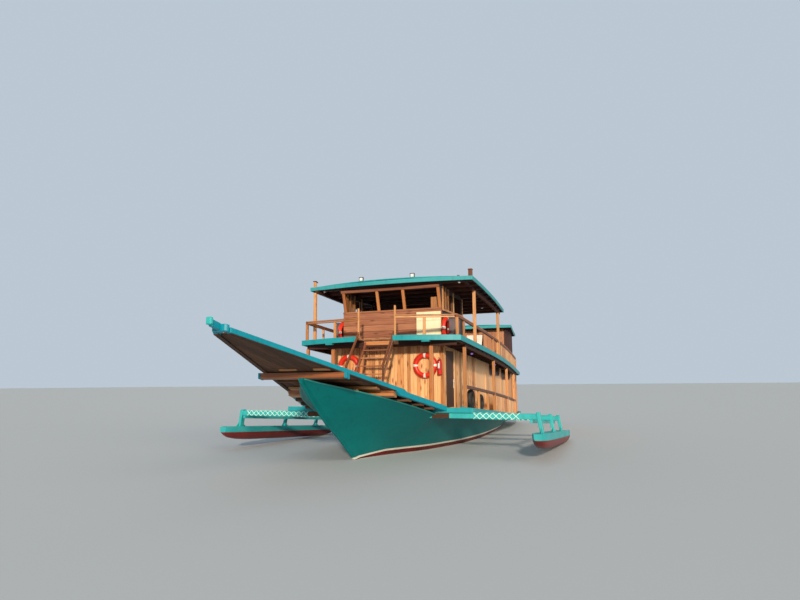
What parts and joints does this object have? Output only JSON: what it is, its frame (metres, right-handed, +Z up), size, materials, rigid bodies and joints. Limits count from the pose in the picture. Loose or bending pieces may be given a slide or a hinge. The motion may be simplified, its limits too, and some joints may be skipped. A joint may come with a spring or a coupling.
{
  "type": "two-deck wooden outrigger tour boat",
  "caption": "Two-deck wooden tour boat with a long pointed bow platform, raised outrigger floats on booms, wheelhouse and open rails, afloat at its waterline.",
  "frame": {"origin": "on the centreline at the waterline, 3.5 m behind the upper deck's front corners", "axes": "+X to the bow, +Y to port, +Z up"},
  "size_m": [22.55, 9.878, 6.605],
  "materials": {
    "hull": "semi-gloss painted wood",
    "turquoise": "semi-gloss painted wood",
    "beam": "semi-gloss painted wood",
    "honey": "varnished vertical boards",
    "redwood": "varnished planks",
    "post": "varnished timber",
    "dark": "dark stained timber",
    "deck": "worn planks",
    "ring": "satin",
    "cream": "painted board",
    "bronze": "cast",
    "door": "dark stained board"
  },
  "bodies": {
    "boat": {"hull": "hull", "main_deck": "deck", "deck_guard": "turquoise", "platform_beam_port": "beam", "platform_beam_starboard": "beam", "bow_platform": "redwood", "bow_bearer": "post", "bow_head": "turquoise", "front_sill": "turquoise", "boom_front": "turquoise", "boom_middle": "turquoise", "boom_aft": "turquoise", "float_port": "turquoise", "float_rail_port": "turquoise", "float_starboard": "turquoise", "float_rail_starboard": "turquoise", "cabin_front_wall": "honey", "cabin_aft_wall": "honey", "cabin_port_wall": "honey", "cabin_starboard_wall": "honey", "lower_side_port": "post", "lower_side_starboard": "post", "front_posts": "post", "stern_frame": "post", "upper_deck": "redwood", "upper_deck_fascia": "turquoise", "ladder": "redwood", "upper_front_rail_port": "post", "upper_front_rail_starboard": "post", "ladder_handrail_port": "dark", "ladder_handrail_starboard": "dark", "upper_side_port": "post", "upper_side_starboard": "post", "wheelhouse_front": "redwood", "wheelhouse_port_wall": "redwood", "wheelhouse_starboard_wall": "redwood", "wheelhouse_back_wall": "redwood", "side_locker_port": "door", "side_locker_starboard": "door", "notice_panel": "cream", "helm_stand": "redwood", "main_roof": "turquoise", "main_roof_fascia": "turquoise", "aft_cabin_port_wall": "redwood", "aft_cabin_starboard_wall": "redwood", "aft_cabin_front_wall": "redwood", "aft_cabin_aft_wall": "redwood", "aft_roof": "turquoise", "aft_roof_fascia": "turquoise", "upper_stern_rail": "post", "life_ring_front_port": "ring", "life_ring_front_starboard": "ring", "life_ring_side_port": "ring", "life_ring_side_starboard": "ring", "extinguisher": "ring"},
    "propeller": {"propeller": "bronze"},
    "rudder": {"rudder": "hull"},
    "door_port": {"cabin_door_port": "door"},
    "door_starboard": {"cabin_door_starboard": "door"},
    "helm_wheel": {"helm_wheel": "dark"}
  },
  "joints": [
    {"name": "propeller_spin", "type": "hinge", "parent": "boat", "child": "propeller", "pos_m": [-8.9, 0, -0.86], "axis": [1, 0, 0], "continuous": true},
    {"name": "rudder_turn", "type": "hinge", "parent": "boat", "child": "rudder", "pos_m": [-9.3, 0, -0.72], "axis": [0, 0, 1], "range_deg": [-35, 35]},
    {"name": "helm_turn", "type": "hinge", "parent": "boat", "child": "helm_wheel", "pos_m": [1.5, 0, 4.08], "axis": [1, 0, 0], "range_deg": [-545, 545]},
    {"name": "door_port_swing", "type": "hinge", "parent": "boat", "child": "door_port", "pos_m": [2.558, 1.7427, 2.1], "axis": [0, 0, 1], "range_deg": [0, 95]},
    {"name": "door_starboard_swing", "type": "hinge", "parent": "boat", "child": "door_starboard", "pos_m": [2.558, -1.7427, 2.1], "axis": [0, 0, 1], "range_deg": [-95, 0]}
  ],
  "couplings": [
    {"joint": "helm_turn", "follows": "rudder_turn", "ratio": 15.4}
  ]
}
